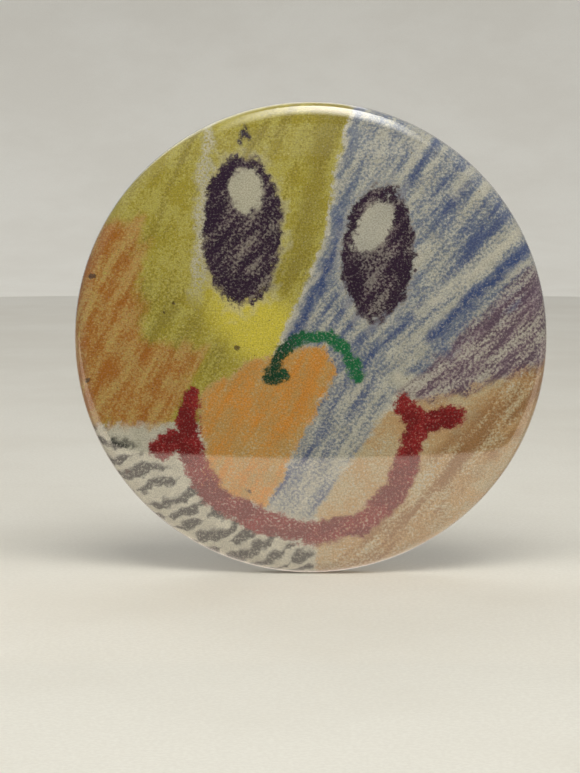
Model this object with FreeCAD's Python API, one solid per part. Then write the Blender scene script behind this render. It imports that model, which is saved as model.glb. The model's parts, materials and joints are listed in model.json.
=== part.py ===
import FreeCAD, Part
import math
import os

# Round pin-back button badge. Millimetres.
#
# The badge stands upright, as it is worn: the printed face looks towards -Y, +Z is up, and
# +Y points at the cloth behind it. The origin is on the badge's axis, in the plane of the
# back plate's flat ring, which lies against the cloth.
#
# The face is a stack of three thin layers, all wrapped round the same edge: clear film over
# printed paper over a domed steel shell. Behind, their edge is rolled in round the rim of a
# pressed steel back plate, which holds the spring pin.

# --- driving dimensions -------------------------------------------------------------------

BADGE_DIAMETER = 57.15

FILM_THICKNESS = 0.05
PAPER_THICKNESS = 0.10
SHELL_THICKNESS = 0.25
LAYER_GAP = 0.03

DOME_RADIUS = 160.0
SHOULDER_RADIUS = 2.0
SIDE_WALL = 0.25
ROLL_RADIUS = 0.95
ROLL_FLAT = 0.5
SHELL_TAIL = 0.05
WRAP_TAIL = 0.40
LAND_PROUD_OF_ROLL = 0.15

PLATE_THICKNESS = 0.30
PLATE_BEND = 0.40
PANEL_RADIUS = 19.6
PANEL_DEPTH = 1.3
LAND_INNER_RADIUS = 20.6
LAND_OUTER_RADIUS = 24.8
FLANGE_INNER_RADIUS = 25.5
FLANGE_RADIUS = 27.75
FLANGE_DEPTH = 1.75
FLANGE_LIP = 0.55

WIRE_DIAMETER = 0.8
WIRE_GAP = 0.02
COIL_X = 16.0
COIL_HEIGHT = 2.18
COIL_HALF_TURNS = 3
COIL_SHIFT = 0.45
STEM_Z = 5.0
STEM_BOW = 0.15
STEM_BOW_FROM_X = 11.0
STEM_BOW_TO_X = -8.0
TIP_TAPER = 3.0
TIP_X = -19.6
TIP_FALL = 0.30
TIP_RADIUS = 0.05
STEM_BEND = 20.0
STEM_TO_COIL_GAP = 0.05

ANCHOR_END_X = -8.0
ANCHOR_HOOK = 3.0
ANCHOR_BEND = 1.2

CLASP_X = -15.0
CLASP_WIDTH = 4.0
CLASP_WALL_GAP = 0.35
CLASP_LIP_GAP = 0.50
CLASP_LIP_REACH = 0.20
CLASP_WINDOW_LENGTH = 5.6

BRIDGE_XS = (-4.0, 9.0)
BRIDGE_WIDTH = 2.8
BRIDGE_HALF_SPAN = 1.5
BRIDGE_HALF_TOP = 0.85
BRIDGE_FOOT = 0.5
LANCE_GAP = 0.1

# --- dimensions that follow from them -----------------------------------------------------

RADIUS = BADGE_DIAMETER / 2
WIRE_RADIUS = WIRE_DIAMETER / 2

# Depths run along Y: the cloth plane is 0 and the face is negative.
ROLL_CENTRE_Y = -LAND_PROUD_OF_ROLL - ROLL_RADIUS
ROLL_OUTER_R = RADIUS - ROLL_RADIUS
ROLL_INNER_R = ROLL_OUTER_R - ROLL_FLAT
SHOULDER_Y = ROLL_CENTRE_Y - SIDE_WALL
SHOULDER_R = RADIUS - SHOULDER_RADIUS
DOME_CENTRE_Y = SHOULDER_Y + math.sqrt((DOME_RADIUS - SHOULDER_RADIUS) ** 2 - SHOULDER_R ** 2)

PAPER_DEPTH = FILM_THICKNESS + LAYER_GAP
SHELL_DEPTH = PAPER_DEPTH + PAPER_THICKNESS + LAYER_GAP

PANEL_MID_Y = -PANEL_DEPTH - PLATE_THICKNESS / 2
ANCHOR_Y = -PANEL_DEPTH + WIRE_RADIUS + WIRE_GAP
ANCHOR_Z = STEM_Z + COIL_HALF_TURNS * COIL_SHIFT
COIL_Y = ANCHOR_Y + COIL_HEIGHT / 2
COIL_RADIUS = math.hypot(COIL_HEIGHT, COIL_SHIFT) / 2
STEM_Y = ANCHOR_Y + COIL_HEIGHT


def vec(x, y, z=0.0):
    return FreeCAD.Vector(x, y, z)


def line(start, end):
    return Part.LineSegment(start, end).toShape()


def arc(start, middle, end):
    return Part.Arc(start, middle, end).toShape()


def face_of(edges):
    return Part.Face(Part.Wire(Part.__sortEdges__(edges)))


def turned(face):
    """Solid of revolution round the badge's axis, which is Y."""
    return face.revolve(vec(0, 0), vec(0, 1), 360)


def in_clasp_plane(face, x, width):
    """Solid drawn in (Z, Y), then laid across the back with its width centred on x."""
    placed = face.copy()
    placed.rotate(vec(0, 0), vec(0, 1), -90)
    placed.translate(vec(x - width / 2, 0))
    return placed.extrude(vec(width, 0))


# --- the wrapped layers of the face -------------------------------------------------------


def wrap_line(depth, tail):
    """Section of the surface that lies depth under the outside of the face and its rolled edge.

    Runs from the middle of the dome, over the shoulder and the side wall, round the roll and
    down its inner side for the length of the tail.
    """
    shoulder = vec(SHOULDER_R, SHOULDER_Y)
    outward = (shoulder - vec(0, DOME_CENTRE_Y)).normalize()
    dome = DOME_RADIUS - depth
    bend = SHOULDER_RADIUS - depth
    roll = ROLL_RADIUS - depth
    half = 0.5 * math.atan2(outward.x, -outward.y)
    middle_of_dome = vec(dome * math.sin(half), DOME_CENTRE_Y - dome * math.cos(half))
    shoulder_start = shoulder + outward * bend
    shoulder_half = (outward + vec(1, 0)).normalize() * bend
    wall_start = vec(RADIUS - depth, SHOULDER_Y)
    wall_end = vec(RADIUS - depth, ROLL_CENTRE_Y)
    diagonal = roll * math.sqrt(0.5)
    roll_out = vec(ROLL_OUTER_R, ROLL_CENTRE_Y + roll)
    roll_in = vec(ROLL_INNER_R, ROLL_CENTRE_Y + roll)
    leg_start = vec(ROLL_INNER_R - roll, ROLL_CENTRE_Y)
    return [
        arc(vec(0, DOME_CENTRE_Y - dome), middle_of_dome, shoulder_start),
        arc(shoulder_start, shoulder + shoulder_half, wall_start),
        line(wall_start, wall_end),
        arc(wall_end, vec(ROLL_OUTER_R + diagonal, ROLL_CENTRE_Y + diagonal), roll_out),
        line(roll_out, roll_in),
        arc(roll_in, vec(ROLL_INNER_R - diagonal, ROLL_CENTRE_Y + diagonal), leg_start),
        line(leg_start, leg_start - vec(0, tail)),
    ]


def wrapped_layer(depth, thickness, tail):
    """One thin layer of the face: film, paper or shell."""
    outside = wrap_line(depth, tail)
    inside = wrap_line(depth + thickness, tail)
    ends = [
        line(outside[0].Vertexes[0].Point, inside[0].Vertexes[0].Point),
        line(outside[-1].Vertexes[-1].Point, inside[-1].Vertexes[-1].Point),
    ]
    return turned(face_of(outside + inside + ends))


# --- bent sheet metal ---------------------------------------------------------------------


def bent_line(points, bend, offset=0.0):
    """Edges along the points, each corner rounded to the bend radius, moved left by offset."""
    edges = []
    here = None
    last = len(points) - 1
    for index, corner in enumerate(points):
        before = (corner - points[index - 1]).normalize() if index > 0 else None
        after = (points[index + 1] - corner).normalize() if index < last else None
        if before is None:
            here = corner + vec(-after.y, after.x) * offset
            continue
        left = vec(-before.y, before.x)
        if after is None:
            edges.append(line(here, corner + left * offset))
            continue
        turn = math.atan2(before.x * after.y - before.y * after.x, before.dot(after))
        side = math.copysign(1, turn)
        back_off = bend * math.tan(abs(turn) / 2)
        centre = corner - before * back_off + left * bend * side
        arc_radius = bend - offset * side
        arc_start = corner - before * back_off + left * offset
        arc_end = corner + after * back_off + vec(-after.y, after.x) * offset
        arc_middle = centre + (corner - centre).normalize() * arc_radius
        edges.append(line(here, arc_start))
        edges.append(arc(arc_start, arc_middle, arc_end))
        here = arc_end
    return edges


def bent_sheet(points, bend):
    """Section of a bent strip of the plate's sheet, centred on a line through the points."""
    half = PLATE_THICKNESS / 2
    left = bent_line(points, bend, half)
    right = bent_line(points, bend, -half)
    ends = [
        line(left[0].Vertexes[0].Point, right[0].Vertexes[0].Point),
        line(left[-1].Vertexes[-1].Point, right[-1].Vertexes[-1].Point),
    ]
    return face_of(left + right + ends)


def pressed_disc():
    """The back plate before its clasp and bridges are cut: panel, flat ring and rim flange."""
    land_y = -PLATE_THICKNESS / 2
    flange_y = land_y - FLANGE_DEPTH
    lip_r = FLANGE_RADIUS - PLATE_THICKNESS / 2
    section = bent_sheet(
        [
            vec(0, PANEL_MID_Y),
            vec(PANEL_RADIUS, PANEL_MID_Y),
            vec(LAND_INNER_RADIUS, land_y),
            vec(LAND_OUTER_RADIUS, land_y),
            vec(FLANGE_INNER_RADIUS, flange_y),
            vec(lip_r, flange_y),
            vec(lip_r, flange_y - FLANGE_LIP + PLATE_THICKNESS / 2),
        ],
        PLATE_BEND / 2 + PLATE_THICKNESS / 2,
    )
    return turned(section)


def panel_window(x, width, z_low, z_high):
    """Cutter for the opening that a lanced strip leaves in the panel."""
    depth = 2 * PLATE_THICKNESS
    return Part.makeBox(width, depth, z_high - z_low, vec(x - width / 2, PANEL_MID_Y - depth / 2, z_low))


def clasp_strip():
    """Tongue that stands up above the stem and folds over it, open underneath."""
    wall_z = STEM_Z + WIRE_RADIUS + CLASP_WALL_GAP + PLATE_THICKNESS / 2
    lip_y = STEM_Y + WIRE_RADIUS + CLASP_LIP_GAP + PLATE_THICKNESS / 2
    points = [
        vec(wall_z + 3 * PLATE_BEND, PANEL_MID_Y),
        vec(wall_z, PANEL_MID_Y),
        vec(wall_z, lip_y),
        vec(STEM_Z - CLASP_LIP_REACH, lip_y),
    ]
    strip = in_clasp_plane(bent_sheet(points, PLATE_BEND), CLASP_X, CLASP_WIDTH)
    window_top = wall_z + PLATE_BEND
    window = panel_window(
        CLASP_X, CLASP_WIDTH + 2 * LANCE_GAP, window_top - CLASP_WINDOW_LENGTH, window_top
    )
    return strip, window


def bridge_strip(x):
    """Low arch over the anchored leg of the wire, still joined to the panel at both ends."""
    top_y = ANCHOR_Y + WIRE_RADIUS + WIRE_GAP + PLATE_THICKNESS / 2
    foot = BRIDGE_HALF_SPAN + BRIDGE_FOOT
    points = [
        vec(ANCHOR_Z - foot, PANEL_MID_Y),
        vec(ANCHOR_Z - BRIDGE_HALF_SPAN, PANEL_MID_Y),
        vec(ANCHOR_Z - BRIDGE_HALF_TOP, top_y),
        vec(ANCHOR_Z + BRIDGE_HALF_TOP, top_y),
        vec(ANCHOR_Z + BRIDGE_HALF_SPAN, PANEL_MID_Y),
        vec(ANCHOR_Z + foot, PANEL_MID_Y),
    ]
    strip = in_clasp_plane(bent_sheet(points, PLATE_BEND), x, BRIDGE_WIDTH)
    window = panel_window(
        x, BRIDGE_WIDTH + 2 * LANCE_GAP, ANCHOR_Z - BRIDGE_HALF_SPAN, ANCHOR_Z + BRIDGE_HALF_SPAN
    )
    return strip, window


def back_plate():
    plate = pressed_disc()
    lanced = [clasp_strip()] + [bridge_strip(x) for x in BRIDGE_XS]
    for strip, window in lanced:
        plate = plate.cut(window)
    for strip, window in lanced:
        plate = plate.fuse(strip)
    return plate.removeSplitter()


# --- the spring pin -----------------------------------------------------------------------


def round_wire(path):
    """Wire of the pin's own gauge along a path of tangent edges."""
    start = path.Edges[0]
    tangent = start.tangentAt(start.FirstParameter)
    section = Part.Wire(Part.makeCircle(WIRE_RADIUS, start.valueAt(start.FirstParameter), tangent))
    return path.makePipe(Part.Face(section))


def coil_point(half_turns):
    """Point on the coil's middle line, counted in half turns from the anchored leg.

    Each half turn is a flat half circle tipped about X, so it starts and ends along X and
    runs smoothly into the next one, into the leg and into the stem.
    """
    whole = math.floor(half_turns)
    angle = math.pi * (half_turns - whole)
    direction = 1 if whole % 2 == 0 else -1
    return vec(
        COIL_X + direction * COIL_RADIUS * math.sin(angle),
        COIL_Y - direction * COIL_HEIGHT / 2 * math.cos(angle),
        ANCHOR_Z - COIL_SHIFT * (whole + (1 - math.cos(angle)) / 2),
    )


def anchored_wire():
    """The part of the wire that stays still: the leg under the bridges, and the coil.

    The coil stops just short of the stem's root, so that the two never touch.
    """
    leg = Part.Wire(
        bent_line(
            [
                vec(ANCHOR_END_X, ANCHOR_Z - ANCHOR_HOOK),
                vec(ANCHOR_END_X, ANCHOR_Z),
                vec(COIL_X, ANCHOR_Z),
            ],
            ANCHOR_BEND,
        )
    )
    leg.rotate(vec(0, 0), vec(1, 0), 90)
    leg.translate(vec(0, ANCHOR_Y))
    root_gap = (WIRE_RADIUS + STEM_TO_COIL_GAP) / (math.pi * COIL_RADIUS)
    turns = []
    for start in range(COIL_HALF_TURNS):
        end = start + 1 if start + 1 < COIL_HALF_TURNS else start + 1 - root_gap
        middle = (start + end) / 2
        turns.append(arc(coil_point(start), coil_point(middle), coil_point(end)))
    return round_wire(Part.Wire(leg.Edges + turns))


def pin_stem():
    """The part of the wire that swings: a rounded root, a slightly bowed stem and a sharp tip."""
    root = vec(COIL_X, STEM_Y)
    tip = vec(TIP_X, STEM_Y + STEM_BOW - TIP_FALL)
    bow_start = vec(STEM_BOW_FROM_X, STEM_Y + STEM_BOW)
    bow_end = vec(STEM_BOW_TO_X, STEM_Y + STEM_BOW)
    to_tip = (tip - bow_end).normalize()
    taper_start = tip - to_tip * TIP_TAPER
    path = Part.Wire(bent_line([root, bow_start, bow_end, taper_start], STEM_BEND))
    stem = round_wire(path)
    point = Part.makeCone(WIRE_RADIUS, TIP_RADIUS, TIP_TAPER, taper_start, to_tip)
    stem = stem.fuse([Part.makeSphere(WIRE_RADIUS, root), point])
    stem.translate(vec(0, 0, STEM_Z))
    return stem


# --- the pieces ---------------------------------------------------------------------------

PIECES = {
    "clear_film": wrapped_layer(0, FILM_THICKNESS, WRAP_TAIL),
    "art_paper": wrapped_layer(PAPER_DEPTH, PAPER_THICKNESS, WRAP_TAIL),
    "front_shell": wrapped_layer(SHELL_DEPTH, SHELL_THICKNESS, SHELL_TAIL),
    "back_plate": back_plate(),
    "pin_wire_coil": anchored_wire(),
    "pin_stem": pin_stem(),
}

os.makedirs("parts", exist_ok=True)
for name, piece in PIECES.items():
    piece.exportStep("parts/" + name + ".step")
    box = piece.BoundBox
    print(
        name,
        "solids", len(piece.Solids),
        "valid", piece.isValid(),
        "volume %.3f" % piece.Volume,
        "x %.2f..%.2f y %.2f..%.2f z %.2f..%.2f"
        % (box.XMin, box.XMax, box.YMin, box.YMax, box.ZMin, box.ZMax),
    )
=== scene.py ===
import json
import math

import bmesh
import bpy
import numpy as np
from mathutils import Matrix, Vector


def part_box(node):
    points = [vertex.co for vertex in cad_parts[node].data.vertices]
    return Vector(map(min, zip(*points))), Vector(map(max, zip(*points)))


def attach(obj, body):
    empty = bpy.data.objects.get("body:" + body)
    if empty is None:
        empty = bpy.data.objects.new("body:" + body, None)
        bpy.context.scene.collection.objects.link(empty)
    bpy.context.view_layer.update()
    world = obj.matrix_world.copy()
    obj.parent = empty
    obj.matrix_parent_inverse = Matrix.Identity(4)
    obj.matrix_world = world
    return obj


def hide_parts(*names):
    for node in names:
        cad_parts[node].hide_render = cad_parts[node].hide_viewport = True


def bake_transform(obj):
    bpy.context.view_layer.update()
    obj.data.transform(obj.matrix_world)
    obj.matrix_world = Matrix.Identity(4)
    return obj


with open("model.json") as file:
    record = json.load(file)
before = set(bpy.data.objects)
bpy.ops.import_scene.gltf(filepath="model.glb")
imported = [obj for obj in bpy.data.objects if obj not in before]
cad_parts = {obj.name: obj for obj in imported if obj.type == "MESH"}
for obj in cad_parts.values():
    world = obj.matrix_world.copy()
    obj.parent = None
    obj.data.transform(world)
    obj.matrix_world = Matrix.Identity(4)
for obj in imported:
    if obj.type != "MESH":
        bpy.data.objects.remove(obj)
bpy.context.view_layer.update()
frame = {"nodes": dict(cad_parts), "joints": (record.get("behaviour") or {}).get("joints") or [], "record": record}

# The looks of a 2 1/4 inch pin-back button badge, in metres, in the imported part's own frame.
# The printed face looks towards -Y, +Z is up, and the pin is on the +Y side.

MM = 0.001

# --- measures -----------------------------------------------------------------------------

# The section of the face: a dome, a shoulder, a short wall, and a roll round the back.
film_low, film_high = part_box("clear_film")
RADIUS = film_high.x
DOME_RADIUS = 160 * MM
SHOULDER_RADIUS = 2 * MM
SIDE_WALL = 0.25 * MM
ROLL_RADIUS = 0.95 * MM
ROLL_FLAT = 0.5 * MM
WRAP_TAIL = 0.4 * MM
FILM_THICKNESS = 0.05 * MM
PAPER_DEPTH = 0.08 * MM
PAPER_THICKNESS = 0.1 * MM

# Steps along each stretch of that section, and around the badge.
DOME_STEPS = 22
SHOULDER_STEPS = 16
ROLL_STEPS = 14
SHEET_SEGMENTS = 720

# Film and paper gather into small pleats where they wrap round the back.
PLEATS = 112
PLEAT_HEIGHT = 0.09 * MM
PLEAT_RISE_STEPS = 12
PLEAT_SEED = 7

# The pin's wire. Its root is where the stem leaves the coil, on the hinge.
wire_low, wire_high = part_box("pin_wire_coil")
stem_low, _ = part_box("pin_stem")
pin_mount = next(m for m in frame["record"]["mounts"] if m["name"] == "pin_stem")
PIN_ROOT = Vector(frame["joints"][0]["pos_m"])
WIRE_RADIUS = pin_mount["dims"]["r_mm"] * MM
LEG_Y = wire_low.y + WIRE_RADIUS
LEG_Z = wire_high.z - WIRE_RADIUS
LEG_HOOK_X = wire_low.x + WIRE_RADIUS
LEG_BEND = 1.2 * MM
COIL_HALF_TURNS = 3
COIL_REACH = wire_high.x - WIRE_RADIUS - PIN_ROOT.x
STEM_BOW = 0.15 * MM
STEM_BOW_FROM_X = 11 * MM
STEM_BOW_TO_X = -8 * MM
STEM_BEND = 20 * MM
TIP_FALL = 0.3 * MM
TIP_TAPER = 3 * MM
TIP_RADIUS = 0.05 * MM
TIP_STEPS = 12
TIP_ROUNDNESS = 1.3
WIRE_SIDES = 28
WIRE_POINT_GAP = 0.25 * MM
STEPS_PER_HALF_TURN = 20


# --- arithmetic on shader fields ----------------------------------------------------------


class Field:
    """A value that varies over a surface: a shader node's output, with arithmetic."""

    def __init__(self, tree, socket):
        self.tree = tree
        self.socket = socket

    def math(self, operation, *others):
        node = self.tree.nodes.new("ShaderNodeMath")
        node.operation = operation
        for entry, value in zip(node.inputs, (self,) + others):
            plug(entry, value)
        return Field(self.tree, node.outputs[0])

    def __add__(self, other):
        return self.math("ADD", other)

    def __sub__(self, other):
        return self.math("SUBTRACT", other)

    def __mul__(self, other):
        return self.math("MULTIPLY", other)

    def __truediv__(self, other):
        return self.math("DIVIDE", other)

    def __neg__(self):
        return self.math("MULTIPLY", -1.0)

    def __rsub__(self, other):
        return -self + other

    __radd__ = __add__
    __rmul__ = __mul__

    def at_least(self, other):
        return self.math("MAXIMUM", other)

    def at_most(self, other):
        return self.math("MINIMUM", other)

    def size(self):
        return self.math("ABSOLUTE")


def plug(entry, value):
    """Links a field to a node's input, or sets the input to a plain value."""
    if isinstance(value, Field):
        value.tree.links.new(value.socket, entry)
    else:
        entry.default_value = value


def hypot(a, b):
    return (a * a + b * b).math("SQRT")


def ramp(field, low, high):
    """0 below low and 1 above high, smooth between. With low above high it falls instead."""
    if low > high:
        return 1 - ramp(field, high, low)
    node = field.tree.nodes.new("ShaderNodeMapRange")
    node.interpolation_type = "SMOOTHSTEP"
    plug(node.inputs["Value"], field)
    node.inputs["From Min"].default_value = low
    node.inputs["From Max"].default_value = high
    return Field(field.tree, node.outputs["Result"])


def vector(x, y, z=0.0):
    node = x.tree.nodes.new("ShaderNodeCombineXYZ")
    for entry, value in zip(node.inputs, (x, y, z)):
        plug(entry, value)
    return Field(x.tree, node.outputs[0])


def split(place):
    node = place.tree.nodes.new("ShaderNodeSeparateXYZ")
    plug(node.inputs[0], place)
    return [Field(place.tree, out) for out in node.outputs]


def noise(place, scale, detail=2.0, rough=0.5):
    """Soft noise about 0.5, mostly between 0.3 and 0.7, with scale lumps to a unit of place."""
    node = place.tree.nodes.new("ShaderNodeTexNoise")
    plug(node.inputs["Vector"], place)
    node.inputs["Scale"].default_value = scale
    node.inputs["Detail"].default_value = detail
    node.inputs["Roughness"].default_value = rough
    return Field(place.tree, node.outputs[0])


def in_millimetres(tree):
    """The point on the surface in millimetres."""
    node = tree.nodes.new("ShaderNodeTexCoord")
    scaled = tree.nodes.new("ShaderNodeVectorMath")
    scaled.operation = "SCALE"
    scaled.inputs["Scale"].default_value = 1 / MM
    tree.links.new(node.outputs["Object"], scaled.inputs[0])
    return Field(tree, scaled.outputs[0])


def linear(red, green, blue):
    """A colour as it shows on a screen, 0 to 255, in the shader's own linear numbers."""
    shares = [channel / 255 for channel in (red, green, blue)]
    levels = [s / 12.92 if s <= 0.04045 else ((s + 0.055) / 1.055) ** 2.4 for s in shares]
    return (*levels, 1.0)


def mix(share, first, second):
    """The colour that is first at share 0 and second at share 1."""
    node = share.tree.nodes.new("ShaderNodeMix")
    node.data_type = "RGBA"
    plug(node.inputs[0], share)
    plug(node.inputs[6], first)
    plug(node.inputs[7], second)
    return Field(share.tree, node.outputs[2])


def shaded(colour, level):
    """The colour, lighter or darker by level times."""
    node = colour.tree.nodes.new("ShaderNodeVectorMath")
    node.operation = "SCALE"
    plug(node.inputs[0], colour)
    plug(node.inputs["Scale"], level)
    return Field(colour.tree, node.outputs[0])


def bump(height, strength, distance):
    node = height.tree.nodes.new("ShaderNodeBump")
    plug(node.inputs["Height"], height)
    node.inputs["Strength"].default_value = strength
    node.inputs["Distance"].default_value = distance
    return Field(height.tree, node.outputs["Normal"])


def new_material(name):
    material = bpy.data.materials.new(name)
    material.use_nodes = True
    material.node_tree.nodes.clear()
    return material, material.node_tree


def output_of(tree, shader):
    output = tree.nodes.new("ShaderNodeOutputMaterial")
    tree.links.new(shader.outputs[0], output.inputs["Surface"])


def principled(tree, **inputs):
    """A Principled shader on the tree's output. Inputs are named with _ for each space."""
    shader = tree.nodes.new("ShaderNodeBsdfPrincipled")
    for name, value in inputs.items():
        plug(shader.inputs[name.replace("_", " ")], value)
    output_of(tree, shader)


# --- the crayon drawing -------------------------------------------------------------------

# Everything here is in millimetres on the flat paper, from the middle of the face.

PAPER_WHITE = linear(200, 196, 178)
PAPER_GREY = linear(184, 180, 162)
YELLOW = linear(158, 145, 34)
PALE_YELLOW = linear(182, 171, 78)
BRIGHT_YELLOW = linear(216, 201, 66)
OLIVE = linear(136, 123, 30)
ORANGE = linear(162, 100, 34)
PALE_ORANGE = linear(188, 152, 88)
WARM_ORANGE = linear(206, 140, 56)
BLUE = linear(112, 122, 138)
STRONG_BLUE = linear(60, 78, 122)
PURPLE = linear(92, 70, 88)
PALE_PURPLE = linear(134, 112, 124)
EYE_PURPLE = linear(44, 25, 46)
SOFT_PURPLE = linear(72, 48, 66)
PEACH = linear(186, 150, 100)
PALE_PEACH = linear(196, 178, 140)
BROWN = linear(150, 104, 50)
GREY = linear(62, 63, 58)
GREEN = linear(22, 106, 62)
DARK_GREEN = linear(6, 58, 34)
RED = linear(144, 30, 32)
DARK_RED = linear(108, 16, 18)
WAX_SPECK = linear(60, 34, 26)
DUST = linear(92, 76, 50)

HALF_NOISE = 0.5
HAND_DRIFT = 1.8

# Far centres that two sets of strokes spread from, and how far from them their pitch holds.
GREY_CENTRE = (45.5, 5.9)
GREY_REACH = 65
GREY_PITCH = 2.05
BLUE_CENTRE = (-33.7, -40.4)
BLUE_REACH = 70

NOSE_HALF_WIDTH = 0.78
MOUTH_HALF_WIDTH = 1.45
TICK_HALF_WIDTH = 1.15


def beside(u, v, start, end):
    """Distance to the left of the line from start towards end."""
    run = (end[0] - start[0], end[1] - start[1])
    length = math.hypot(*run)
    return (v - start[1]) * (run[0] / length) - (u - start[0]) * (run[1] / length)


def outside(u, v, corners):
    """About the distance outside a convex outline, whose corners go anticlockwise."""
    edges = [beside(u, v, a, b) for a, b in zip(corners, corners[1:] + corners[:1])]
    nearest = edges[0]
    for edge in edges[1:]:
        nearest = nearest.at_most(edge)
    return -nearest


def off_line(u, v, points):
    """Distance from a line drawn through points."""
    nearest = None
    for start, end in zip(points, points[1:]):
        run = (end[0] - start[0], end[1] - start[1])
        square = run[0] ** 2 + run[1] ** 2
        along = (u * run[0] + v * run[1] - (start[0] * run[0] + start[1] * run[1])) / square
        along = along.at_least(0.0).at_most(1.0)
        away = hypot(u - start[0] - along * run[0], v - start[1] - along * run[1])
        nearest = away if nearest is None else nearest.at_most(away)
    return nearest


def outside_oval(u, v, centre, half_width, half_height, tilt=0.0):
    """About the distance outside an oval that leans to the right by tilt degrees."""
    cos, sin = math.cos(math.radians(tilt)), math.sin(math.radians(tilt))
    across = ((u - centre[0]) * cos - (v - centre[1]) * sin) / half_width
    up = ((u - centre[0]) * sin + (v - centre[1]) * cos) / half_height
    return (hypot(across, up) - 1) * min(half_width, half_height)


def strokes(u, v, angle, pitch, length, seed):
    """Uneven strokes side by side, as noise drawn out at an angle in degrees."""
    cos, sin = math.cos(math.radians(angle)), math.sin(math.radians(angle))
    place = vector((v * cos - u * sin) / pitch, (u * cos + v * sin) / length, seed)
    return noise(place, 1.0, 2.0)


def strokes_from(u, v, centre, reach, pitch, length, seed):
    """Uneven strokes that spread from a far centre. Pitch holds at reach from it."""
    angle = (v - centre[1]).math("ARCTAN2", u - centre[0])
    away = hypot(u - centre[0], v - centre[1])
    return noise(vector(angle * (reach / pitch), away / length, seed), 1.0, 2.0)


class Drawing:
    """Paper that takes crayon on its tooth, one patch over another."""

    def __init__(self, tree):
        flat = tree.nodes.new("ShaderNodeAttribute")
        flat.attribute_name = "flat_mm"
        self.place = Field(tree, flat.outputs["Vector"])
        self.u, self.v, _ = split(self.place)

        self.tooth = ramp(noise(self.place, 3.0, 2.5, 0.6), 0.28, 0.72)
        self.cloud = noise(self.place, 0.35, 3.0, 0.6)
        self.shiver = noise(self.place, 1.1, 2.0) - HALF_NOISE
        self.drift = noise(self.place, 0.28, 2.0) - HALF_NOISE
        self.fuzz = self.shiver * 1.5 + (self.tooth - HALF_NOISE) * 0.5
        # The same point moved about a little, so that outlines look drawn by hand.
        self.du = self.u + self.drift * HAND_DRIFT
        other_drift = noise(vector(self.v, self.u, 5.0), 0.28, 2.0) - HALF_NOISE
        self.dv = self.v + other_drift * HAND_DRIFT

        mottle = ramp(noise(self.place, 0.5, 4.0, 0.6), 0.35, 0.65)
        self.colour = mix(mottle, PAPER_WHITE, PAPER_GREY)

    def within(self, distance, soft=0.3):
        """1 where distance is negative, with a crayon's ragged edge."""
        return ramp(distance + self.fuzz, soft, -soft)

    def wax(self, pressure, soft=0.22):
        """How much of the paper a crayon covers at a pressure from 0 to 1."""
        return ramp(self.tooth + pressure, 1 - soft, 1 + soft)

    def lay(self, share, crayon):
        """Lays a crayon's colour over what is there."""
        self.colour = mix(share, self.colour, crayon)


def draw_grey_strokes(drawing):
    """Grey, along the lower left rim: short strokes that spread from the far right."""
    d = drawing
    angle = (d.v - GREY_CENTRE[1]).math("ARCTAN2", d.u - GREY_CENTRE[0])
    away = hypot(d.u - GREY_CENTRE[0], d.v - GREY_CENTRE[1])
    row = angle * GREY_REACH / GREY_PITCH + d.drift * 1.6 + d.shiver * 0.35
    off_stroke = (row.math("FRACT") - 0.5).size() * GREY_PITCH
    lifted = noise(vector(row.math("FLOOR") * 7.3, away / 2.6, 9.0), 1.0, 2.0)
    off_stroke = off_stroke + ramp(lifted, 0.52, 0.34) * 0.7 + (d.cloud - HALF_NOISE) * 0.8
    belt = beside(d.du, d.dv, (-26.5, -10.0), (2.0, -26.8))
    on_stroke = ramp(off_stroke + d.fuzz * 0.5, 0.86, 0.36) * d.within(belt, 0.6)
    d.lay(on_stroke * (d.wax(0.84, 0.40) * 0.8 + 0.2), GREY)


def yellow_border(drawing):
    """Distance to the left of the line where yellow meets blue, less than 0 on the yellow."""
    d = drawing
    low, mid, top = (-5.6, -4.4), (1.0, 10.6), (4.8, 28.5)
    return beside(d.du, d.dv, low, mid).at_most(beside(d.du, d.dv, mid, top))


def draw_yellow(drawing, border):
    """Yellow, upper left, olive along its right border and bright near the nose."""
    d = drawing
    hatch = strokes(d.u, d.v, angle=64, pitch=1.5, length=11, seed=3.0)
    shade = mix(ramp(d.cloud + d.tooth * 0.22, 0.50, 0.74), PALE_YELLOW, YELLOW)
    shade = mix(ramp(hatch + d.tooth * 0.22, 0.58, 0.80) * 0.75, shade, OLIVE)
    bright = ramp(outside_oval(d.u, d.v, (-5.6, 1.5), 7.0, 3.6, 35), 2.0, -1.5)
    shade = mix(bright * 0.8, shade, BRIGHT_YELLOW)
    rim_streak = ramp((border - 2.2).size() + d.shiver * 2, 2.0, 0.4) * ramp(d.v, 4, 12)
    shade = mix(rim_streak * 0.6, shade, OLIVE)
    on_yellow = d.within(-border) * d.within(-10.0 - d.dv)
    on_yellow = on_yellow * d.wax(1.3 + (hatch - HALF_NOISE) * 1.4)
    off_bare = (d.u + 13.2 - (d.v - 12) * 0.07).size()
    bare = ramp(off_bare + d.drift * 3 + d.shiver * 2, 1.3, 0.2)
    bare = bare * ramp(d.v, 3, 9) * ramp(d.tooth, 0.1, 0.6)
    d.lay(on_yellow * (0.96 - bare * 0.75), shade)


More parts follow.
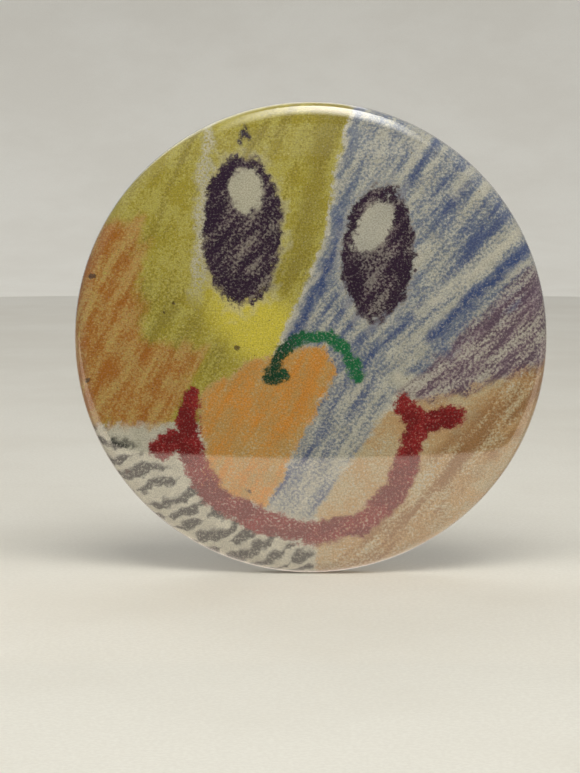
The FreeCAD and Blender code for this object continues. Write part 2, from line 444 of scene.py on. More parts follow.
def draw_left_orange(drawing):
    """Orange, left, laid over the yellow in slanting strokes."""
    d = drawing
    hatch = strokes(d.u, d.v, angle=61, pitch=1.45, length=12, seed=11.0)
    rim_part = beside(d.du, d.dv, (-20.6, 1.0), (-20.0, 18.0)).at_most(14.5 - d.dv)
    low_part = beside(d.du, d.dv, (-24.0, 0.4), (-12.8, -0.8))
    edge = (-rim_part).at_most(low_part)
    edge = edge.at_least(-beside(d.u, d.dv, (-26, -10.3), (-17, -10.7)))
    edge = edge.at_least(-beside(d.du, d.dv, (-17.5, -10.7), (-12.6, -0.8)))
    thin = strokes(d.u, d.v, angle=61, pitch=0.7, length=4, seed=16.0)
    both = hatch * 0.4 + thin * 0.25 + d.cloud * 0.35
    shade = mix(ramp(both + d.tooth * 0.12, 0.46, 0.66), PALE_ORANGE, ORANGE)
    on_orange = d.within(edge + (hatch - HALF_NOISE) * 4.5, 0.9)
    d.lay(on_orange * d.wax(1.05 + (both - HALF_NOISE) * 2.4, 0.4) * 0.95, shade)


def draw_blue(drawing, border):
    """Blue, upper right, in strokes that spread upwards from the lower left."""
    d = drawing
    hatch = strokes_from(d.u, d.v, BLUE_CENTRE, BLUE_REACH, pitch=2.1, length=14, seed=21.0)
    thin = strokes_from(d.u, d.v, BLUE_CENTRE, BLUE_REACH, pitch=1.0, length=8, seed=26.0)
    fine = strokes_from(d.u, d.v, BLUE_CENTRE, BLUE_REACH, pitch=0.42, length=1.6, seed=28.0)
    both = hatch * 0.50 + thin * 0.35 + fine * 0.15
    shade = mix(ramp(both + d.tooth * 0.08, 0.55, 0.68), BLUE, STRONG_BLUE)
    low_edge = beside(d.du, d.dv, (6.5, -8.6), (30.0, 7.4)).at_most(d.dv + 4.0)
    press = 0.60 + (both - HALF_NOISE) * 5.6 + ramp(border + 3.5, 0, 3.0) * 0.25
    press = press - ramp(d.u - d.v * 0.2, 14, 24) * 0.08
    on_blue = d.within(border + 0.35) * d.within(-low_edge, 0.6)
    d.lay(on_blue * (d.wax(press, 0.5) * 0.82 + 0.12), shade)
    gap = off_line(d.du, d.dv, [(13.0, 3.6), (25.5, 13.4)]) - 0.55
    gap = gap.at_most(off_line(d.du, d.dv, [(17.0, 18.0), (20.6, 21.2)]) - 0.5)
    d.lay(d.within(gap, 0.8) * 0.8, PAPER_WHITE)
    edge_line = off_line(d.du, d.dv, [(-3.4, -2.4), (2.6, 10.2), (3.6, 14.5)]) - 0.5
    long_line = off_line(d.du, d.dv, [(14.5, 0.8), (26.5, 11.4)]) - 0.6
    on_line = d.within(edge_line.at_most(long_line), 0.5)
    d.lay(on_line * (d.wax(0.85, 0.4) * 0.8 + 0.2), STRONG_BLUE)


def draw_blue_belt(drawing):
    """Blue again, as a belt from the nose down to the mouth."""
    d = drawing
    hatch = strokes(d.u, d.v, angle=58, pitch=1.9, length=12, seed=31.0)
    belt = [(3.4, -2.6), (-5.8, -20.5), (0.2, -21.5), (10.5, -6.0), (8.0, 1.0)]
    shade = mix(ramp(hatch + d.tooth * 0.08, 0.56, 0.70), BLUE, STRONG_BLUE)
    on_belt = d.within(outside(d.du, d.dv, belt), 0.5)
    press = 0.50 + (hatch - HALF_NOISE) * 4.0
    d.lay(on_belt * (d.wax(press, 0.5) * 0.82 + 0.08), shade)


def draw_peach(drawing):
    """Peach, lower right, brown towards the purple."""
    d = drawing
    hatch = strokes(d.u, d.v, angle=48, pitch=1.6, length=10, seed=41.0)
    edge = beside(d.du, d.dv, (0.6, -30.0), (0.6, -20.5))
    edge = edge.at_least(beside(d.du, d.dv, (0.6, -20.5), (11, -6)))
    edge = edge.at_least(beside(d.du, d.dv, (11.0, -8.0), (30.0, -1.8)))
    off_brown = beside(d.du, d.dv, (18.0, -14.5), (28.5, -3.5)).size()
    brown = ramp(off_brown + d.drift * 4, 4.5, 1.0)
    brown = brown * ramp(hatch + d.tooth * 0.2, 0.46, 0.70) + ramp(d.v, -6, -2) * 0.3
    shade = mix(ramp(d.cloud + d.tooth * 0.25, 0.48, 0.74), PALE_PEACH, PEACH)
    shade = mix(brown, shade, BROWN)
    d.lay(d.within(edge) * d.wax(1.05 + (hatch - HALF_NOISE) * 1.6) * 0.9, shade)


def draw_purple(drawing):
    """Purple, right, between the blue and the peach."""
    d = drawing
    hatch = strokes(d.u, d.v, angle=43, pitch=1.35, length=9, seed=51.0)
    patch = [(10.4, -6.4), (14.0, -7.6), (20.0, -6.0), (30.0, -2.2), (30.0, 10.5), (25.5, 8.0)]
    on_patch = d.within(outside(d.du, d.dv, patch) + (hatch - HALF_NOISE) * 2.5, 0.6)
    thin = strokes(d.u, d.v, angle=43, pitch=0.7, length=5, seed=56.0)
    press = 0.66 + (hatch - HALF_NOISE) * 2.2 + (thin - HALF_NOISE) * 2.2
    shade = mix(ramp(thin + d.tooth * 0.3, 0.50, 0.80), PALE_PURPLE, PURPLE)
    d.lay(on_patch * (d.wax(press, 0.5) * 0.75 + 0.20), shade)


def draw_middle_orange(drawing):
    """Orange, in the middle, under the nose."""
    d = drawing
    hatch = strokes(d.u, d.v, angle=62, pitch=1.5, length=10, seed=61.0)
    patch = [(1.6, -0.6), (-6.6, -2.0), (-13.2, -6.4), (-12.8, -17.5), (-5.4, -20.5), (3.1, -3.2)]
    both = hatch * 0.6 + d.cloud * 0.4
    shade = mix(ramp(both + d.tooth * 0.15, 0.44, 0.72), PALE_ORANGE, WARM_ORANGE)
    on_patch = d.within(outside(d.du, d.dv, patch), 0.35)
    d.lay(on_patch, PALE_PEACH)
    d.lay(on_patch * d.wax(1.05 + (hatch - HALF_NOISE) * 1.8, 0.4), shade)


def draw_nose(drawing):
    d = drawing
    arch = [(-4.9, -3.9), (-3.6, -1.2), (-0.8, 0.4), (2.2, 0.4), (4.7, -1.2), (5.7, -4.2)]
    foot = [(-5.0, -4.0), (-3.2, -4.2)]
    off_nose = off_line(d.du, d.dv, arch).at_most(off_line(d.du, d.dv, foot))
    shade = mix(ramp(d.u + d.tooth * 3, -2.5, 2.0), DARK_GREEN, GREEN)
    d.lay(d.within(off_nose - NOSE_HALF_WIDTH, 0.25) * d.wax(0.96, 0.35), shade)


def draw_mouth(drawing):
    """A smile, thinner at its upper left end, with a tick across each end."""
    d = drawing
    smile = [(-14.2, -6.6), (-15.0, -10.2), (-14.6, -13.6), (-12.0, -18.6), (-6.4, -21.8)]
    smile += [(0.6, -23.5), (6.0, -22.4), (10.0, -18.6), (12.0, -13.6), (13.2, -9.6)]
    left_tick = [(-18.2, -13.2), (-16.6, -12.0), (-14.2, -12.6)]
    right_tick = [(11.2, -7.8), (13.4, -9.8), (17.6, -9.0)]
    off_smile = off_line(d.du, d.dv, smile) - MOUTH_HALF_WIDTH + ramp(d.v, -10.5, -5.0) * 0.5
    off_ticks = off_line(d.du, d.dv, left_tick)
    off_ticks = off_ticks.at_most(off_line(d.du, d.dv, right_tick)) - TICK_HALF_WIDTH
    on_mouth = d.within(off_smile.at_most(off_ticks), 0.3)
    shade = mix(ramp(d.cloud + d.tooth * 0.3, 0.50, 0.76), RED, DARK_RED)
    press = 0.92 + ramp(d.v, -18, -12) * 0.22 + (d.cloud - HALF_NOISE) * 0.9
    d.lay(on_mouth * (d.wax(press, 0.35) * 0.9 + 0.1), shade)


def draw_eye(drawing, oval, shine, seed):
    """An eye in an oval: a pale halo, a ring, scribble inside it and a bare highlight."""
    d = drawing
    off_eye = outside_oval(d.du, d.dv, *oval)
    halo = ramp(off_eye + d.shiver * 2.5 + d.drift * 2.5, 1.1, 0.0)
    d.lay(halo * 0.35, PAPER_WHITE)
    d.lay(d.within(off_eye + 0.4) * 0.85, PAPER_GREY)
    cloudy = ramp(d.cloud, 0.40, 0.60) * 0.2
    hatch = strokes(d.u, d.v, angle=50, pitch=1.2, length=6, seed=seed)
    off_shine = outside_oval(d.du, d.dv, *shine)
    ring = ramp((off_eye + 1.0).size(), 1.6, 0.5)
    press = 0.60 + cloudy + ring * 0.22 + (hatch - HALF_NOISE) * 3.0
    shade = mix(ramp(hatch + d.tooth * 0.3 + ring * 0.1, 0.52, 0.78), SOFT_PURPLE, EYE_PURPLE)
    on_eye = d.within(off_eye, 0.25) * d.within(-off_shine, 0.3)
    d.lay(on_eye * (d.wax(press, 0.42) * 0.46 + 0.54), shade)


def draw_tuft(drawing):
    """A small mark above the left eye."""
    d = drawing
    tuft = [(-8.2, 24.0), (-7.9, 25.6), (-8.0, 24.8), (-7.2, 24.7)]
    d.lay(d.within(off_line(d.du, d.dv, tuft) - 0.3, 0.3) * d.wax(0.8), EYE_PURPLE)


def draw_specks(drawing):
    """Specks of stray wax, each at u and v with a radius, and fine dust."""
    d = drawing
    for u, v, radius in (
        (-26.4, 7.8, 0.5), (-27.0, -4.8, 0.4), (-22.2, -16.0, 0.5), (-3.6, 16.0, 0.35),
        (-17.5, 3.5, 0.3), (-16.4, 4.6, 0.22), (-8.8, -0.7, 0.4), (-7.4, -18.1, 0.35),
    ):
        away = hypot(d.u - u, (d.v - v) * 1.3) + d.shiver * 1.4 + (d.tooth - HALF_NOISE) * 0.3
        d.lay(ramp(away, radius, radius * 0.5) * 0.8, WAX_SPECK)
    dust = ramp(noise(d.place, 1.7, 1.0), 0.755, 0.79)
    d.lay(dust * 0.7, DUST)


def crayon_paper():
    """Paper with a crayon smiley on eight patches of colour."""
    material, tree = new_material("crayon_paper")
    drawing = Drawing(tree)
    draw_grey_strokes(drawing)
    border = yellow_border(drawing)
    draw_yellow(drawing, border)
    draw_left_orange(drawing)
    draw_blue(drawing, border)
    draw_blue_belt(drawing)
    draw_peach(drawing)
    draw_purple(drawing)
    draw_middle_orange(drawing)
    draw_nose(drawing)
    draw_mouth(drawing)
    draw_eye(drawing, ((-8.2, 13.4), 4.8, 9.0, 0.0), ((-7.8, 18.0), 1.9, 2.7, 0.0), 71.0)
    draw_eye(drawing, ((8.1, 10.6), 4.4, 8.2, 5.0), ((7.6, 13.9), 1.6, 3.5, 32.0), 81.0)
    draw_tuft(drawing)
    draw_specks(drawing)

    # Pits that no crayon reaches, and the grain of the paper under all of them.
    pits = noise(drawing.place, 4.3, 2.5, 0.6)
    drawing.lay(ramp(pits, 0.54, 0.74) * 0.30, PAPER_WHITE)
    grain = noise(drawing.place, 5.5, 2.0, 0.6)
    level = ramp(grain, 0.32, 0.68) * 0.40 + ramp(drawing.cloud, 0.3, 0.7) * 0.1 + 0.75
    colour = shaded(drawing.colour, level)
    rough = ramp(drawing.tooth, 0.0, 1.0) * 0.2 + 0.5
    principled(
        tree,
        Base_Color=colour,
        Roughness=rough,
        Specular_IOR_Level=0.2,
        Normal=bump(drawing.tooth * 0.6 + grain * 0.4, 0.25, 0.02 * MM),
    )
    return material


# --- other materials ----------------------------------------------------------------------


def clear_film():
    """Clear film: see-through, with a sharp reflection off its outer side only."""
    material, tree = new_material("clear_film")
    place = in_millimetres(tree)
    smear = noise(place, 0.16, 3.0, 0.6)
    scuff = ramp(noise(place, 0.9, 4.0, 0.7), 0.55, 0.75)

    gloss = tree.nodes.new("ShaderNodeBsdfGlossy")
    gloss.inputs["Color"].default_value = (1.0, 1.0, 1.0, 1.0)
    plug(gloss.inputs["Roughness"], ramp(smear, 0.4, 0.7) * 0.03 + scuff * 0.03 + 0.015)
    ripple = noise(place, 0.09, 1.0) + noise(place, 3.0, 2.0) * 0.004
    plug(gloss.inputs["Normal"], bump(ripple, 0.35, 0.03 * MM))

    clear = tree.nodes.new("ShaderNodeBsdfTransparent")
    fresnel = tree.nodes.new("ShaderNodeFresnel")
    fresnel.inputs["IOR"].default_value = 1.8
    facing = tree.nodes.new("ShaderNodeNewGeometry")
    front = 1 - Field(tree, facing.outputs["Backfacing"])
    share = Field(tree, fresnel.outputs[0]) * front

    both = tree.nodes.new("ShaderNodeMixShader")
    plug(both.inputs[0], share)
    tree.links.new(clear.outputs[0], both.inputs[1])
    tree.links.new(gloss.outputs[0], both.inputs[2])
    output_of(tree, both)
    return material


def scratches(place_u, place_v, seed, angles=(8, 37, 74, 121, 158)):
    """Fine stray scratches, as 1 on a scratch and 0 off it."""
    found = None
    for count, angle in enumerate(angles):
        line = strokes(place_u, place_v, angle, 1.1, 26, seed + 3.0 * count)
        line = ramp((line - 0.47).size(), 0.006, 0.001)
        gaps = ramp(noise(vector(place_u, place_v, seed + 40 + count), 0.16, 2.0), 0.52, 0.62)
        found = line * gaps if found is None else found.at_least(line * gaps)
    return found


def plated_sheet(name, bright, dull, roughness):
    """Thin plated steel sheet: rolling lines, dull patches, stray scratches and tiny spots."""
    material, tree = new_material(name)
    place = in_millimetres(tree)
    x, y, z = split(place)
    rolling = noise(vector(x * 0.05, y * 0.4, z * 3.2), 1.0, 3.0, 0.6)
    patches = ramp(noise(place, 0.11, 4.0, 0.6), 0.36, 0.66)
    grain = noise(place, 4.5, 2.0, 0.6)
    spots = ramp(noise(place, 1.25, 2.0), 0.70, 0.76)
    scratched = scratches(x, z, 5.0)

    colour = mix(patches * 0.6 + grain * 0.25, bright, dull)
    colour = mix(ramp(rolling, 0.40, 0.62) * 0.18, colour, dull)
    colour = mix(spots * 0.55, colour, linear(92, 78, 62))
    colour = mix(scratched * 0.35, colour, linear(236, 236, 236))
    rough = patches * 0.13 + grain * 0.08 + spots * 0.25 + scratched * 0.12 + roughness
    height = rolling * 0.5 + grain * 0.35 - scratched * 0.8
    principled(
        tree,
        Base_Color=colour,
        Metallic=1.0,
        Roughness=rough,
        Normal=bump(height, 0.3, 0.012 * MM),
    )
    return material


def drawn_wire():
    """Hard drawn wire, bright plated, with fine lines along it and a few dull spots."""
    material, tree = new_material("drawn_wire")
    place = in_millimetres(tree)
    x, y, z = split(place)
    lines = noise(vector(x * 0.12, y * 7.0, z * 7.0), 1.0, 2.0)
    dull = ramp(noise(place, 0.55, 3.0, 0.6), 0.46, 0.70)
    colour = mix(dull * 0.7 + lines * 0.2, linear(214, 215, 218), linear(150, 148, 146))
    principled(
        tree,
        Base_Color=colour,
        Metallic=1.0,
        Roughness=dull * 0.16 + lines * 0.10 + 0.10,
        Normal=bump(lines, 0.2, 0.008 * MM),
    )
    return material


def studio_paper(name, lift=0.0):
    """Pale paper for the floor and the backdrop. Lift is the light that it gives off itself."""
    material, tree = new_material(name)
    place = in_millimetres(tree)
    cloud = noise(place, 0.02, 4.0, 0.6)
    fibre = noise(place, 2.2, 3.0, 0.6)
    colour = mix(ramp(cloud, 0.35, 0.68), linear(231, 229, 219), linear(224, 221, 210))
    principled(
        tree,
        Base_Color=mix(ramp(fibre, 0.30, 0.66) * 0.35, colour, linear(213, 209, 198)),
        Roughness=0.85,
        Specular_IOR_Level=0.2,
        Normal=bump(fibre, 0.35, 0.05 * MM),
        Emission_Color=(1.0, 0.97, 0.92, 1.0),
        Emission_Strength=lift,
    )
    return material


def glow(name, colour):
    """A plain card that gives off its colour evenly."""
    material, tree = new_material(name)
    shader = tree.nodes.new("ShaderNodeEmission")
    shader.inputs["Color"].default_value = colour
    output_of(tree, shader)
    return material


# --- meshes -------------------------------------------------------------------------------


def add_object(name, vertices, faces, material, smooth_angle=40):
    """A mesh object with outward faces, smooth but for edges sharper than smooth_angle."""
    mesh = bpy.data.meshes.new(name)
    mesh.from_pydata([tuple(v) for v in vertices], [], faces)
    mesh.materials.append(material)
    work = bmesh.new()
    work.from_mesh(mesh)
    bmesh.ops.recalc_face_normals(work, faces=work.faces)
    for face in work.faces:
        face.smooth = True
    for edge in work.edges:
        if edge.is_manifold and edge.calc_face_angle() > math.radians(smooth_angle):
            edge.smooth = False
    work.to_mesh(mesh)
    work.free()
    piece = bpy.data.objects.new(name, mesh)
    bpy.context.scene.collection.objects.link(piece)
    return piece


def arc_points(centre, radius, start, end, steps):
    """Radius and y of points on an arc, without its start. Angles are from +r towards +y."""
    angles = np.linspace(start, end, steps + 1)[1:]
    return [(centre[0] + radius * math.cos(a), centre[1] + radius * math.sin(a)) for a in angles]


def wrapped_section(depth):
    """Half of the wrapped section at a depth below the film's face, from the dome to the tail."""
    shoulder_r = RADIUS - SHOULDER_RADIUS
    roll_r = RADIUS - ROLL_RADIUS
    inner_r = roll_r - ROLL_FLAT
    roll_y = film_high.y - ROLL_RADIUS
    shoulder_y = roll_y - SIDE_WALL
    down = -math.pi / 2
    lean = math.asin(shoulder_r / (DOME_RADIUS - SHOULDER_RADIUS))
    dome_centre = (0.0, film_low.y + DOME_RADIUS)
    section = arc_points(dome_centre, DOME_RADIUS - depth, down, down + lean, DOME_STEPS)
    shoulder = (shoulder_r, shoulder_y)
    section += arc_points(shoulder, SHOULDER_RADIUS - depth, down + lean, 0, SHOULDER_STEPS)
    roll = ROLL_RADIUS - depth
    section += arc_points((roll_r, roll_y), roll, 0, math.pi / 2, ROLL_STEPS)
    section += arc_points((inner_r, roll_y), roll, math.pi / 2, math.pi, ROLL_STEPS)
    section.append((inner_r - roll, roll_y - WRAP_TAIL))
    return np.array(section)


def pleat_heights(angles, rows, rng):
    """Height of the pleats at each row of the section and each angle round the badge."""
    spread = 2 * math.pi / PLEATS
    middles = (np.arange(PLEATS) + rng.uniform(-0.35, 0.35, PLEATS)) * spread
    widths = spread * rng.uniform(0.22, 0.55, PLEATS)
    tall = PLEAT_HEIGHT * rng.uniform(0.25, 1.0, PLEATS)
    slant = spread * rng.uniform(-0.5, 0.5, PLEATS)
    heights = np.zeros((len(rows), len(angles)))
    for middle, width, top, lean in zip(middles, widths, tall, slant):
        off = angles[None, :] - middle - lean * rows[:, None]
        off = np.abs((off + math.pi) % (2 * math.pi) - math.pi)
        heights = np.maximum(heights, top * np.clip(1 - off / width, 0, 1) ** 0.8)
    return heights * np.clip(rows * 1.6, 0, 1)[:, None]


def wrapped_sheet(name, depth, thickness, material):
    """A thin sheet over the face and round the back, closed, with its flat shape as flat_mm."""
    outer = wrapped_section(depth)
    inner = wrapped_section(depth + thickness)
    segments = SHEET_SEGMENTS
    angles = np.linspace(0, 2 * math.pi, segments, endpoint=False)
    steps = np.hypot(*np.diff(np.vstack([[0, outer[0, 1]], outer]), axis=0).T)
    along = np.cumsum(steps)
    before_roll = DOME_STEPS + SHOULDER_STEPS - 1
    rows = np.clip((np.arange(len(outer)) - before_roll) / PLEAT_RISE_STEPS, 0, 1)
    pleats = pleat_heights(angles, rows, np.random.default_rng(PLEAT_SEED))

    vertices, flat = [], []
    for section in (outer, inner):
        run = np.gradient(section, axis=0)
        out = np.stack([run[:, 1], -run[:, 0]], axis=1) / np.hypot(*run.T)[:, None]
        radius = np.minimum(section[:, :1] + out[:, :1] * pleats, RADIUS)
        x = radius * np.cos(angles)
        y = section[:, 1:] + out[:, 1:] * pleats
        z = radius * np.sin(angles)
        vertices.append(np.stack([x, y, z], axis=2).reshape(-1, 3))
        flat_u = along[:, None] * np.cos(angles) / MM
        flat_v = along[:, None] * np.sin(angles) / MM
        flat.append(np.stack([flat_u, flat_v, np.zeros_like(flat_u)], axis=2).reshape(-1, 3))

    count = len(outer) * segments
    top_y = film_low.y + depth
    vertices += [np.array([[0, top_y, 0], [0, top_y + thickness, 0]])]
    flat.append(np.zeros((2, 3)))
    faces = []
    for side in (0, count):
        pole = 2 * count + (side > 0)
        for s in range(segments):
            t = (s + 1) % segments
            faces.append((pole, side + s, side + t))
            for row in range(len(outer) - 1):
                a, b = side + row * segments, side + (row + 1) * segments
                faces.append((a + s, b + s, b + t, a + t))
    last = (len(outer) - 1) * segments
    for s in range(segments):
        t = (s + 1) % segments
        faces.append((last + s, count + last + s, count + last + t, last + t))
    sheet = add_object(name, np.concatenate(vertices), faces, material)
    attribute = sheet.data.attributes.new("flat_mm", "FLOAT_VECTOR", "POINT")
    attribute.data.foreach_set("vector", np.concatenate(flat).astype(np.float32).ravel())
    return sheet


def rounded(corners, bend, steps=10):
    """Points on straight runs between corners, with an arc of radius bend at each corner."""
    points = [corners[0]]
    for before, corner, after in zip(corners, corners[1:], corners[2:]):
        back = (before - corner).normalized()
        on = (after - corner).normalized()
        half = back.angle(on) / 2
        middle = corner + (back + on).normalized() * (bend / math.sin(half))
        start = (corner + back * (bend / math.tan(half)) - middle).normalized()
        end = (corner + on * (bend / math.tan(half)) - middle).normalized()
        points += [middle + start.slerp(end, n / steps) * bend for n in range(steps + 1)]
    return points + [corners[-1]]


def spaced(points, gap):
    """The same line with points added so that none are further apart than gap."""
    found = [points[0]]
    for start, end in zip(points, points[1:]):
        parts = max(1, math.ceil((end - start).length / gap))
        found += [start.lerp(end, n / parts) for n in range(1, parts + 1)]
    return found


def wire_piece(name, points, radii, material):
    """A round wire along points, with a radius for each, closed at both ends."""
    sides = WIRE_SIDES
    ways = [(b - a).normalized() for a, b in zip(points, points[1:])]
    ways = [ways[0]] + [(a + b).normalized() for a, b in zip(ways, ways[1:])] + [ways[-1]]
    across = ways[0].orthogonal().normalized()
    vertices, faces = [], []
    for point, way, radius in zip(points, ways, radii):
        across = (across - way * across.dot(way)).normalized()
        other = way.cross(across)
        for n in range(sides):
            turn = 2 * math.pi * n / sides
            vertices.append(point + (across * math.cos(turn) + other * math.sin(turn)) * radius)
    for ring in range(len(points) - 1):
        a, b = ring * sides, (ring + 1) * sides
        for n in range(sides):
            m = (n + 1) % sides
            faces.append((a + n, a + m, b + m, b + n))
    faces.append(tuple(range(sides)))
    faces.append(tuple(range(len(vertices) - sides, len(vertices))))
    return add_object(name, vertices, faces, material, 50)


def coil_point(half_turns):
    """Point on the coil's middle line, counted in half turns from the still leg to the root."""
    whole = math.floor(half_turns)
    angle = math.pi * (half_turns - whole)
    direction = 1 if whole % 2 == 0 else -1
    shift = (LEG_Z - PIN_ROOT.z) / COIL_HALF_TURNS
    return Vector((
        PIN_ROOT.x + direction * COIL_REACH * math.sin(angle),
        (LEG_Y + PIN_ROOT.y) / 2 - direction * (PIN_ROOT.y - LEG_Y) / 2 * math.cos(angle),
        LEG_Z - shift * (whole + (1 - math.cos(angle)) / 2),
    ))


# --- the badge ----------------------------------------------------------------------------

paper = wrapped_sheet("crayon_art_paper", PAPER_DEPTH, PAPER_THICKNESS, crayon_paper())
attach(paper, "badge")
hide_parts("art_paper")

film = wrapped_sheet("glossy_clear_film", 0.0, FILM_THICKNESS, clear_film())
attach(film, "badge")
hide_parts("clear_film")

tinplate = plated_sheet("tinplate_sheet", linear(206, 206, 202), linear(168, 166, 160), 0.24)
nickel = plated_sheet("nickel_sheet", linear(222, 220, 214), linear(186, 182, 174), 0.17)
for node, finish in (("front_shell", tinplate), ("back_plate", nickel)):
    for entry in frame["nodes"][node].material_slots:
        entry.material = finish

wire_finish = drawn_wire()
leg_corners = [
    Vector((LEG_HOOK_X, LEG_Y, wire_low.z)),
    Vector((LEG_HOOK_X, LEG_Y, LEG_Z)),
    Vector((PIN_ROOT.x, LEG_Y, LEG_Z)),
]
coil_steps = STEPS_PER_HALF_TURN * COIL_HALF_TURNS
leg = rounded(leg_corners, LEG_BEND)
leg += [coil_point(COIL_HALF_TURNS * n / coil_steps) for n in range(1, coil_steps)] + [PIN_ROOT]
coil = wire_piece("spring_coil_and_leg", leg, [WIRE_RADIUS] * len(leg), wire_finish)
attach(coil, "badge")
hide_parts("pin_wire_coil")

bow_y = PIN_ROOT.y + STEM_BOW
tip = Vector((stem_low.x, bow_y - TIP_FALL, PIN_ROOT.z))
bow_end = Vector((STEM_BOW_TO_X, bow_y, PIN_ROOT.z))
taper_start = tip + (bow_end - tip).normalized() * TIP_TAPER
stem_corners = [PIN_ROOT, Vector((STEM_BOW_FROM_X, bow_y, PIN_ROOT.z)), bow_end, taper_start]
shaft = spaced(rounded(stem_corners, STEM_BEND), WIRE_POINT_GAP)
shares = [n / TIP_STEPS for n in range(1, TIP_STEPS + 1)]
point = [taper_start.lerp(tip, s) for s in shares]
stem_radii = [WIRE_RADIUS] * len(shaft)
stem_radii += [WIRE_RADIUS + (TIP_RADIUS - WIRE_RADIUS) * s ** TIP_ROUNDNESS for s in shares]
stem = wire_piece("pin_stem_wire", shaft + point, stem_radii, wire_finish)
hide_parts("pin_stem")
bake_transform(stem)

# --- the studio ---------------------------------------------------------------------------

FLOOR_Z = -RADIUS
FLOOR_MIDDLE = 0.1 * MM
FLOOR_RADIUS = 0.5
WALL_BEND = 0.4
WALL_BEND_STEPS = 16
WALL_TOP = 1.6
WALL_LIFT = 0.13

# How far ahead of the badge's back the floor that the gloss shows ends, and its edge's width.
FLOOR_SEEN_AHEAD = 0.0511
FLOOR_SEEN_EDGE = 3 * MM

# The camera looks slightly down at the face from close by.
CAMERA_AWAY = 0.270
CAMERA_RISE = math.radians(5.0)
CAMERA_LENS = 103.3
CAMERA_NEAREST = 0.01
AIM = Vector((-2.5 * MM, 0.0, -5.9 * MM))


def stage_sheet(name, corners, material):
    sheet = add_object(name, corners, [(0, 1, 2, 3)], material)
    return sheet


def only_in_reflections(thing):
    """Hides a stage surface from everything but reflections."""
    thing.visible_camera = False
    thing.visible_diffuse = False
    thing.visible_transmission = False
    thing.visible_shadow = False


def turned_stage(name, section, material, segments=96):
    """A stage surface turned about the vertical through the badge, from radius and height."""
    vertices = [
        (r * math.cos(2 * math.pi * s / segments), r * math.sin(2 * math.pi * s / segments), z)
        for r, z in section
        for s in range(segments)
    ]
    faces = []
    for row in range(len(section) - 1):
        a, b = row * segments, (row + 1) * segments
        for s in range(segments):
            faces.append((a + s, a + (s + 1) % segments, b + (s + 1) % segments, b + s))
    thing = add_object(name, vertices, faces, material)
    return thing


floor_section = [(FLOOR_MIDDLE, FLOOR_Z), (FLOOR_RADIUS, FLOOR_Z)]
floor = turned_stage("floor", floor_section, studio_paper("floor_paper"))
floor.visible_glossy = False
bend_angles = [math.pi / 2 * n / WALL_BEND_STEPS for n in range(WALL_BEND_STEPS + 1)]
wall_section = [
    (FLOOR_RADIUS + WALL_BEND * math.sin(a), FLOOR_Z + WALL_BEND * (1 - math.cos(a)))
    for a in bend_angles
]
wall_section.append((FLOOR_RADIUS + WALL_BEND, WALL_TOP))
wall = turned_stage("backdrop", wall_section, studio_paper("backdrop_paper", WALL_LIFT))
wall.visible_glossy = False
wall.visible_diffuse = False
wall.visible_shadow = False


# Reflections see the floor behind and close in front of the badge, a dark card past the
# camera, and the key softbox as a card.


def floor_glow():
    """The lit floor as the gloss shows it, brighter in front of the badge than behind."""
    material, tree = new_material("floor_glow")
    _, y, _ = split(in_millimetres(tree))
    shader = tree.nodes.new("ShaderNodeEmission")
    shader.inputs["Color"].default_value = (1.0, 0.86, 0.73, 1.0)
    level = ramp(y, 12, -4) + 0.48
    edge = -FLOOR_SEEN_AHEAD / MM
    plug(shader.inputs["Strength"], level * ramp(y, edge, edge + FLOOR_SEEN_EDGE / MM))
    output_of(tree, shader)
    return material


def rectangle(low_x, high_x, front, back):
    """Corners of a rectangle from its front edge to its back edge, each a pair of y and z."""
    return [(low_x, *front), (high_x, *front), (high_x, *back), (low_x, *back)]


near = stage_sheet(
    "floor_in_reflections",
    rectangle(-0.4, 0.4, (-FLOOR_SEEN_AHEAD, FLOOR_Z), (0.5, FLOOR_Z)),
    floor_glow(),
)
only_in_reflections(near)
dark_card = stage_sheet(
    "dark_card",
    rectangle(-0.30, 0.30, (-0.5, -0.45), (-0.5, 0.16)),
    glow("dark_card", (0.012, 0.012, 0.013, 1.0)),
)
only_in_reflections(dark_card)


def highlight_card():
    """The key softbox as the gloss shows it: white, fading out to both sides and downwards."""
    material, tree = new_material("highlight_card")
    x, _, z = split(in_millimetres(tree))
    shader = tree.nodes.new("ShaderNodeEmission")
    shader.inputs["Color"].default_value = (1.0, 0.98, 0.93, 1.0)
    level = ramp(x, -190, 60) * ramp(x, 235, 50) * ramp(z, 190, 370)
    plug(shader.inputs["Strength"], level * 9)
    output_of(tree, shader)
    return material


card = stage_sheet(
    "highlight_card",
    rectangle(-0.20, 0.24, (-0.46, 0.19), (0.03, 0.42)),
    highlight_card(),
)
only_in_reflections(card)


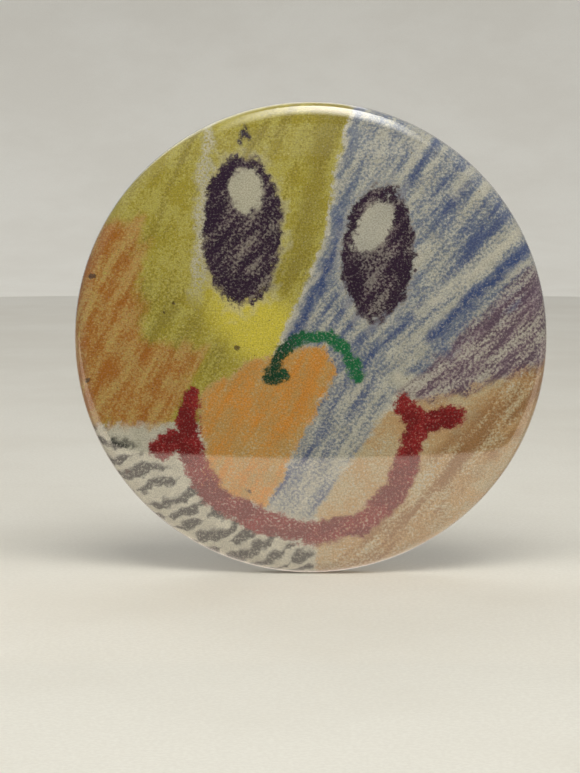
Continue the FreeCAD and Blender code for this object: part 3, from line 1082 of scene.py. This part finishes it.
def softbox(name, place, width, height, watts, colour=(1.0, 1.0, 1.0), mirrored=False):
    """A rectangular lamp aimed at the badge."""
    lamp = bpy.data.lights.new(name, "AREA")
    lamp.shape = "RECTANGLE"
    lamp.size = width
    lamp.size_y = height
    lamp.energy = watts
    lamp.color = colour
    thing = bpy.data.objects.new(name, lamp)
    thing.location = place
    thing.rotation_euler = (-Vector(place)).to_track_quat("-Z", "Y").to_euler()
    thing.visible_glossy = mirrored
    bpy.context.scene.collection.objects.link(thing)


softbox("key_softbox", (0.045, -0.24, 0.40), 0.34, 0.24, 1.25, (1.0, 0.97, 0.90))
softbox("left_fill", (-0.42, -0.34, 0.42), 0.35, 0.35, 0.45)
softbox("right_fill", (0.42, -0.34, 0.42), 0.35, 0.35, 0.45)
softbox("rear_softbox", (-0.15, 0.5, 0.5), 0.6, 0.4, 1.0, mirrored=True)

world = bpy.data.worlds.new("studio")
bpy.context.scene.world = world
world.use_nodes = True
world_tree = world.node_tree
world_tree.nodes.clear()
sky_place = world_tree.nodes.new("ShaderNodeTexCoord")
_, _, sky_up = split(Field(world_tree, sky_place.outputs["Generated"]))
background = world_tree.nodes.new("ShaderNodeBackground")
sky = mix(ramp(sky_up, -0.2, 0.9), (0.44, 0.43, 0.42, 1.0), (0.80, 0.80, 0.80, 1.0))
plug(background.inputs["Color"], sky)
background.inputs["Strength"].default_value = 0.42
world_out = world_tree.nodes.new("ShaderNodeOutputWorld")
world_tree.links.new(background.outputs[0], world_out.inputs["Surface"])

bpy.context.scene.view_settings.view_transform = "Standard"

camera = bpy.data.objects.new("camera", bpy.data.cameras.new("camera"))
camera.data.lens = CAMERA_LENS
camera.data.clip_start = CAMERA_NEAREST
camera.location = (
    0.0,
    -CAMERA_AWAY * math.cos(CAMERA_RISE),
    CAMERA_AWAY * math.sin(CAMERA_RISE),
)
camera.rotation_euler = (AIM - camera.location).to_track_quat("-Z", "Y").to_euler()
bpy.context.scene.collection.objects.link(camera)
bpy.context.scene.camera = camera
